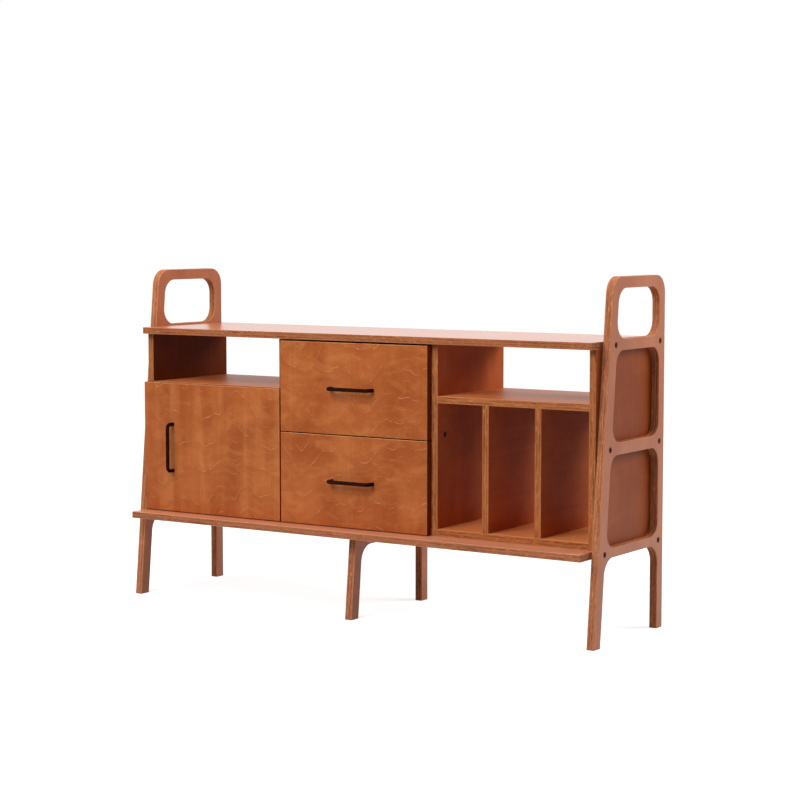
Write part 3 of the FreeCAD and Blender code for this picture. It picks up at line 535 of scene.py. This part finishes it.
def plywood(node_name, stain, edge_stain, finish, seed, figure=plain_figure, grain_name=None,
            deeper_side=None, edge_reach=usual_edge_reach, rim_share=usual_rim_share):
    """Plywood for one board, laid out from the board's own box and lacquered on its faces."""
    board = Board(node_name, grain_name)
    look = Look("plywood_" + node_name)
    shift = board.ordered(*(seed * step for step in seed_shifts))
    shifted_place = look.stretched(look.place, true_scale, shift)
    face, fibres, clouds = veneer(look, shifted_place, board, stain, figure)
    edge, edge_relief = ply_edge(look, board, edge_stain, seed)
    across_sheet = look.axis(look.normal, board.thick)
    facing = look.math("ABSOLUTE", across_sheet)
    is_edge = look.fall(facing, edge_reach - edge_fade_width, edge_reach)
    is_face = look.subtract(1.0, is_edge)
    # Painted shade: the chosen side of the sheet is darkened, as if it lay in shade
    if deeper_side:
        deeper = look.ramp(look.multiply(across_sheet, deeper_side), *deep_face_fade)
        face = look.mix(deeper, face, look.mix(1.0, face, painted_shade_tone, "MULTIPLY"))
    color = look.mix(is_edge, face, edge)
    # Painted highlight: rounded rims are painted paler in broken patches, most of all where they
    # face up towards the lamps
    rim = look.multiply(look.ramp(facing, *rim_start_fade), look.fall(facing, *rim_end_fade))
    highlight_breakup = look.ramp(layer(look, look.place, board, highlight_breakup_noise), *highlight_breakup_fade, least_highlight_share)
    upward_highlight = look.ramp(look.axis(look.normal, upward_axis), *upward_fade, rim_share)
    color = look.mix(look.multiply(rim, highlight_breakup, upward_highlight), color, stain.line)
    roughness = look.ramp(clouds, *cloud_fade, finish.roughness - roughness_dip,
                          finish.roughness + roughness_rise)
    roughness = look.add(roughness, look.multiply(is_edge, edge_roughness_rise))
    relief = look.add(look.multiply(fibres, is_face), look.multiply(edge_relief, is_edge))
    return look.surface({
        "Base Color": color,
        "Roughness": roughness,
        "Normal": look.bump(relief, finish.relief_depth, relief_strength),
        "Specular IOR Level": bare_gloss,
        "Coat Weight": look.multiply(is_face, finish.lacquer_share),
        "Coat Roughness": finish.lacquer_roughness,
    })


def painted_metal(name, color, worn_color, roughness):
    """Dark coated metal with fine mottling."""
    look = Look(name)
    speckle = look.noise(look.place, paint_speckle_scale, rich_detail, lively_roughness)
    patches = look.noise(look.place, paint_wear_scale, rich_detail, lively_roughness)
    wear = look.ramp(patches, *paint_wear_fade, 0.0, paint_wear_share)
    return look.surface({
        "Base Color": look.mix(wear, color, worn_color),
        "Roughness": look.ramp(speckle, *surface_fade, roughness - paint_roughness_dip,
                               roughness + paint_roughness_rise),
        "Normal": look.bump(speckle, paint_relief_depth, paint_relief_strength),
        "Specular IOR Level": paint_gloss,
    })


def plated_metal(name, color, roughness, drawn_axis_name):
    """Plated steel or brass with drawing lines along one axis."""
    look = Look(name)
    scales = tuple(drawn_length_scale if axis_name == drawn_axis_name else drawn_line_scale
                   for axis_name in axis_names)
    lines = look.noise(look.stretched(look.place, scales), noise_unit, smooth_detail,
                       lively_roughness)
    patches = look.noise(look.place, plating_patch_scale, rich_detail, lively_roughness)
    dark_color = tuple(channel * plating_dark_share for channel in color)
    return look.surface({
        "Base Color": look.mix(look.ramp(patches, *plating_patch_fade), dark_color, color),
        "Roughness": look.ramp(lines, *surface_fade, roughness - plating_roughness_dip,
                               roughness + plating_roughness_rise),
        "Normal": look.bump(lines, plating_relief_depth, plating_relief_strength),
        "Metallic": 1.0,
    })


def moulded_plastic(name):
    """Matte plastic with a fine grain."""
    look = Look(name)
    grain = look.noise(look.place, plastic_grain_scale, smooth_detail, even_roughness)
    pale = look.ramp(grain, *surface_fade, 0.0, pale_plastic_share)
    return look.surface({
        "Base Color": look.mix(pale, plastic_color, pale_plastic_color),
        "Roughness": look.ramp(grain, *surface_fade, *plastic_roughness),
        "Normal": look.bump(grain, plastic_relief_depth, plastic_relief_strength),
        "Specular IOR Level": plastic_gloss,
    })


def turned_beech(name):
    """Raw beech with short dark flecks."""
    look = Look(name)
    flecks = look.noise(look.stretched(look.place, beech_scales), noise_unit, rich_detail,
                        lively_roughness)
    return look.surface({
        "Base Color": look.mix(look.ramp(flecks, *beech_fade), beech_color, dark_beech_color),
        "Roughness": beech_roughness,
        "Normal": look.bump(flecks, beech_relief_depth, beech_relief_strength),
    })


def dress(node_name, material):
    """Give a piece its one material."""
    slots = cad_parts[node_name].data.materials
    slots.clear()
    slots.append(material)


def dress_boards(node_names, first_seed, stain, edge_stain, finish, **layout):
    """Give each board a plywood of its own, with the seeds counting up."""
    for index, node_name in enumerate(node_names):
        seed = first_seed + index
        dress(node_name, plywood(node_name, stain, edge_stain, finish, seed, **layout))


# Door and drawer fronts. The figure runs on from one drawer front to the other.
front_layout = {"grain_name": "z", "edge_reach": front_shade_edge_reach, "rim_share": front_rim_share}
dress_boards(["door"], door_seed, front_stain, shaded_front_edge, front_finish,
             figure=door_figure, **front_layout)
for front_name in ("upper_drawer_front", "lower_drawer_front"):
    dress_boards([front_name], drawer_front_seed, front_stain, shaded_front_edge, front_finish,
                 figure=drawer_figure, **front_layout)

# Frames, long boards and side panels
dress_boards(["left_end_frame", "right_end_frame", "centre_leg_frame"], frame_seed,
             frame_stain, frame_edge, frame_finish)
dress_boards(["top_board"], top_board_seed, top_board_stain, top_edge, top_board_finish)
dress_boards(["base_board"], base_board_seed, base_board_stain, base_edge, base_board_finish)
# The left side panel's inner face gets painted shade
dress_boards(["left_side_panel"], left_side_seed, side_stain, inner_edge, left_side_finish,
             deeper_side=high_side)
dress_boards(["right_side_panel"], right_side_seed, side_stain, inner_edge, right_side_finish)

# Upright and level boards inside, and the drawer boxes
inner_boards = [
    "left_divider", "right_divider", "left_record_partition", "right_record_partition",
    "drawer_rail", "left_back_panel", "centre_back_panel",
]
dress_boards(inner_boards, inner_seed, inner_stain, inner_edge, inner_finish)
level_boards = [
    "left_shelf", "right_shelf", "left_bottom_panel", "centre_bottom_panel",
    "right_bottom_panel",
]
dress_boards(level_boards, level_seed, shelf_stain, inner_edge, level_finish)
drawers = ("upper_drawer", "lower_drawer")
drawer_walls = ("left_side", "right_side", "inner_front", "back", "bottom")
box_boards = [f"{drawer}_{wall}" for drawer in drawers for wall in drawer_walls]
dress_boards(box_boards, drawer_box_seed, clear_birch, birch_edge, drawer_box_finish)

# Handles, bolts, fittings and dowels
fittings = (
    (painted_metal("dark_bronze", bronze_color, worn_bronze_color, bronze_roughness),
     ("door_handle", "upper_drawer_handle", "lower_drawer_handle")),
    (painted_metal("black_steel", black_color, worn_black_color, black_roughness),
     ("connector_bolts", "panel_bolts")),
    (plated_metal("zinc_drawn_along_y", drawer_zinc_color, drawer_zinc_roughness, "y"),
     ("slide_cabinet_channels", "upper_drawer_runners", "lower_drawer_runners",
      "upper_slide_middle_channels", "lower_slide_middle_channels")),
    (plated_metal("zinc_drawn_along_z", fitting_zinc_color, fitting_zinc_roughness, "z"),
     ("hinge_arms", "hinge_leaves", "hinge_pins", "catch_plate", "barrel_nuts", "leg_screws",
      "board_screws", "back_screws", "fitting_screws", "door_fitting_screws",
      "door_handle_screws", "upper_drawer_screws", "lower_drawer_screws")),
    (plated_metal("brass", brass_color, brass_roughness, "x"), ("threaded_inserts",)),
    (moulded_plastic("brown_plastic"), ("door_catch",)),
    (turned_beech("turned_beech"), ("dowels",)),
)
for material, node_names in fittings:
    for node_name in node_names:
        dress(node_name, material)


def make_floor():
    """A pale floor that glows white where it is seen, and keeps the credenza's shadow."""
    half = floor_size / 2
    corners = [(-half, -half, -floor_gap), (half, -half, -floor_gap),
               (half, half, -floor_gap), (-half, half, -floor_gap)]
    mesh = bpy.data.meshes.new("floor")
    mesh.from_pydata(corners, [], [range(len(corners))])
    floor = bpy.data.objects.new("floor", mesh)
    bpy.context.scene.collection.objects.link(floor)
    look = Look("pale_floor")
    distance = look.node("ShaderNodeVectorMath", {0: look.place}, operation="LENGTH")
    glow_level = look.ramp(distance.outputs["Value"], *floor_glow_reach, *floor_glow,
                           kind="LINEAR")
    glow = look.node("ShaderNodeEmission", {
        "Color": background_white,
        "Strength": look.multiply(look.seen_directly(), glow_level),
    })
    diffuse = look.node("ShaderNodeBsdfDiffuse", {"Color": floor_color})
    both = look.node("ShaderNodeAddShader", {0: diffuse.outputs[0], 1: glow.outputs[0]})
    look.close(both.outputs[0])
    mesh.materials.append(look.material)


def make_world():
    """A dim world that is white where it is seen."""
    world = bpy.data.worlds.new("studio")
    bpy.context.scene.world = world
    world.use_nodes = True
    nodes = Nodes(world.node_tree, "ShaderNodeOutputWorld")
    strength = nodes.ramp(nodes.seen_directly(), 0.0, 1.0, *world_strength, kind="LINEAR")
    background = nodes.node("ShaderNodeBackground",
                            {"Color": background_white, "Strength": strength})
    nodes.close(background.outputs[0])


def make_light(lamp):
    """A round lamp aimed at the credenza, left out of reflections."""
    data = bpy.data.lights.new(lamp.name, "AREA")
    data.shape = "DISK"
    data.size = lamp.size
    data.energy = lamp.energy
    light = bpy.data.objects.new(lamp.name, data)
    light.location = lamp.place
    aim = Vector(light_target) - Vector(lamp.place)
    light.rotation_euler = aim.to_track_quat("-Z", "Y").to_euler()
    light.visible_glossy = False
    bpy.context.scene.collection.objects.link(light)


def make_camera():
    """A camera in the photograph's place, seeing as its lens did."""
    data = bpy.data.cameras.new("camera")
    data.lens = camera_lens_mm
    data.sensor_width = camera_sensor_mm
    camera = bpy.data.objects.new("camera", data)
    camera.location = camera_place
    camera.rotation_euler = Euler((math.radians(level_view_degrees + camera_tilt_degrees), 0.0,
                                   math.radians(camera_turn_degrees)))
    bpy.context.scene.collection.objects.link(camera)
    bpy.context.scene.camera = camera


make_floor()
make_world()
for lamp in lamps:
    make_light(lamp)
make_camera()

bpy.context.scene.view_settings.view_transform = "Standard"
